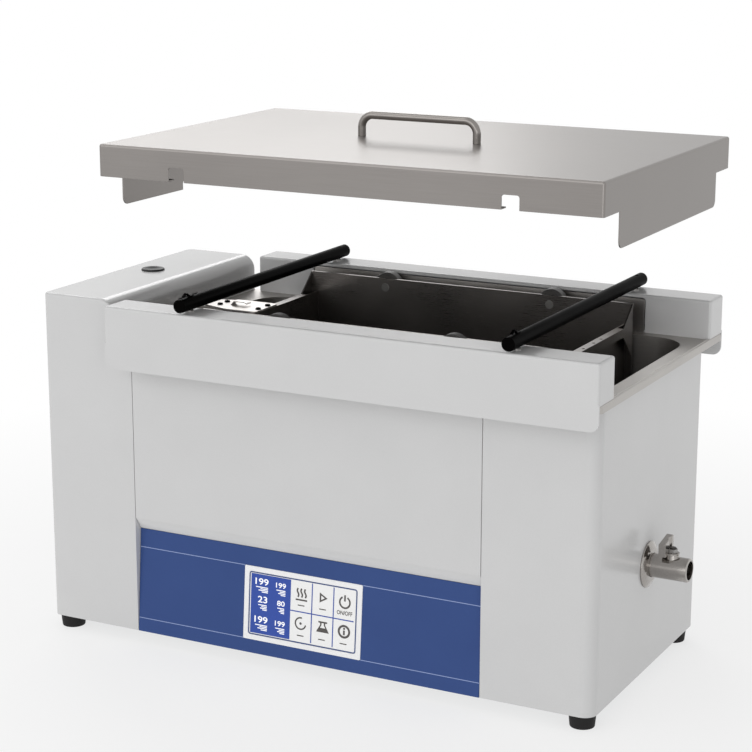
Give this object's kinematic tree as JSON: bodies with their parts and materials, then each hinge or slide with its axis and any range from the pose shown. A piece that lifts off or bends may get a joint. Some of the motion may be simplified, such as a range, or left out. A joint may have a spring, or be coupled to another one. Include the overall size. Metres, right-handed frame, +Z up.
{
  "type": "ultrasonic_shaker",
  "caption": "Heated ultrasonic bath whose wheeled steel basket is rocked end to end by a crank drive, with touch panel, side drain valve, cross bars and a lift-off lid.",
  "frame": {"origin": "on the bench under the centre of the bounding box", "axes": "+Z up, +X towards the drain valve, -Y towards the control panel, long axis X"},
  "size_m": [0.738, 0.3834, 0.6191],
  "materials": {
    "pale_paint": "satin",
    "black_paint": "satin",
    "blue_foil": "satin",
    "white_plastic": "satin",
    "screen_glass": "gloss",
    "stainless": "brushed",
    "steel": "satin",
    "zinc_steel": "satin",
    "aluminium": "satin",
    "chrome": "polished",
    "black_rubber": "matt",
    "black_plastic": "matt",
    "roller_plastic": "satin",
    "board": "satin",
    "ceramic": "matt",
    "heater_silicone": "matt"
  },
  "bodies": {
    "housing": {"bar_clips": "black_paint", "bar_screws": "steel", "base_plate": "zinc_steel", "control_board": "board", "control_panel": "zinc_steel", "drain_fitting": "stainless", "drain_pipe": "stainless", "drive_frame": "zinc_steel", "drive_motor": "black_paint", "fan_frame": "black_plastic", "foot_screws": "steel", "front_panel": "pale_paint", "front_rail": "pale_paint", "front_roller_track": "stainless", "gearbox": "aluminium", "generator_board": "board", "guide_rail": "steel", "heating_mats": "heater_silicone", "left_cross_bar": "black_paint", "left_housing": "pale_paint", "panel_foil": "blue_foil", "power_inlet": "black_plastic", "rear_panel": "pale_paint", "rear_panel_screws": "steel", "rear_rail": "pale_paint", "rear_roller_track": "stainless", "right_cross_bar": "black_paint", "right_housing": "pale_paint", "rubber_feet": "black_rubber", "screen_frame": "white_plastic", "switch_frame": "black_plastic", "tank": "stainless", "touch_screen": "screen_glass", "tower_plug": "black_plastic", "transducer_back_masses": "steel", "transducer_ceramics": "ceramic", "transducer_cones": "aluminium", "valve_body": "chrome", "valve_rosette": "chrome"},
    "lid": {"lid": "stainless", "lid_handle": "stainless", "handle_screws": "stainless"},
    "basket": {"basket": "stainless", "roller_axles": "stainless", "drive_bracket": "stainless", "drive_screws": "black_paint", "drive_arm": "stainless", "yoke_plate": "aluminium", "guide_block": "roller_plastic"},
    "wheel_front_left": {"roller_front_left": "roller_plastic"},
    "wheel_front_right": {"roller_front_right": "roller_plastic"},
    "wheel_rear_left": {"roller_rear_left": "roller_plastic"},
    "wheel_rear_right": {"roller_rear_right": "roller_plastic"},
    "crank": {"crank_disc": "steel"},
    "pin_roller": {"crank_roller": "steel"},
    "drain_valve": {"valve_plug": "chrome", "valve_lever": "chrome", "lever_nut": "stainless"},
    "mains_rocker": {"switch_rocker": "black_plastic"},
    "fan_wheel": {"fan_rotor": "black_plastic"}
  },
  "joints": [
    {"name": "lid_lift", "type": "slide", "parent": "housing", "child": "lid", "axis": [0, 0, 1], "range_m": [-0.1441, 0.05]},
    {"name": "basket_shake", "type": "slide", "parent": "housing", "child": "basket", "axis": [1, 0, 0], "range_m": [-0.01, 0.01]},
    {"name": "wheel_front_left_roll", "type": "hinge", "parent": "basket", "child": "wheel_front_left", "pos_m": [-0.0685, -0.134, 0.391], "axis": [0, 1, 0], "range_deg": [-33, 33]},
    {"name": "wheel_front_right_roll", "type": "hinge", "parent": "basket", "child": "wheel_front_right", "pos_m": [0.1455, -0.134, 0.391], "axis": [0, 1, 0], "range_deg": [-33, 33]},
    {"name": "wheel_rear_left_roll", "type": "hinge", "parent": "basket", "child": "wheel_rear_left", "pos_m": [-0.0685, 0.134, 0.391], "axis": [0, 1, 0], "range_deg": [-33, 33]},
    {"name": "wheel_rear_right_roll", "type": "hinge", "parent": "basket", "child": "wheel_rear_right", "pos_m": [0.1455, 0.134, 0.391], "axis": [0, 1, 0], "range_deg": [-33, 33]},
    {"name": "crank_turn", "type": "hinge", "parent": "housing", "child": "crank", "pos_m": [-0.32, 0, 0.362], "axis": [0, 0, 1], "range_deg": [-90, 90]},
    {"name": "pin_roller_spin", "type": "hinge", "parent": "crank", "child": "pin_roller", "pos_m": [-0.32, -0.01, 0.369], "axis": [0, 0, 1], "continuous": true},
    {"name": "drain_lever_turn", "type": "hinge", "parent": "housing", "child": "drain_valve", "pos_m": [0.349, 0, 0.1395], "axis": [0, 0, 1], "range_deg": [0, 90]},
    {"name": "mains_rocker_tip", "type": "hinge", "parent": "housing", "child": "mains_rocker", "pos_m": [-0.143, 0.155, 0.07], "axis": [1, 0, 0], "range_deg": [-7, 7]},
    {"name": "fan_spin", "type": "hinge", "parent": "housing", "child": "fan_wheel", "pos_m": [0.1105, 0.143, 0.11], "axis": [0, 1, 0], "continuous": true}
  ],
  "couplings": [
    {"joint": "wheel_front_left_roll", "follows": "basket_shake", "rad_per_m": 57.143},
    {"joint": "wheel_front_right_roll", "follows": "basket_shake", "rad_per_m": 57.143},
    {"joint": "wheel_rear_left_roll", "follows": "basket_shake", "rad_per_m": 57.143},
    {"joint": "wheel_rear_right_roll", "follows": "basket_shake", "rad_per_m": 57.143},
    {"joint": "crank_turn", "follows": "basket_shake", "rad_per_m": 157.07}
  ]
}
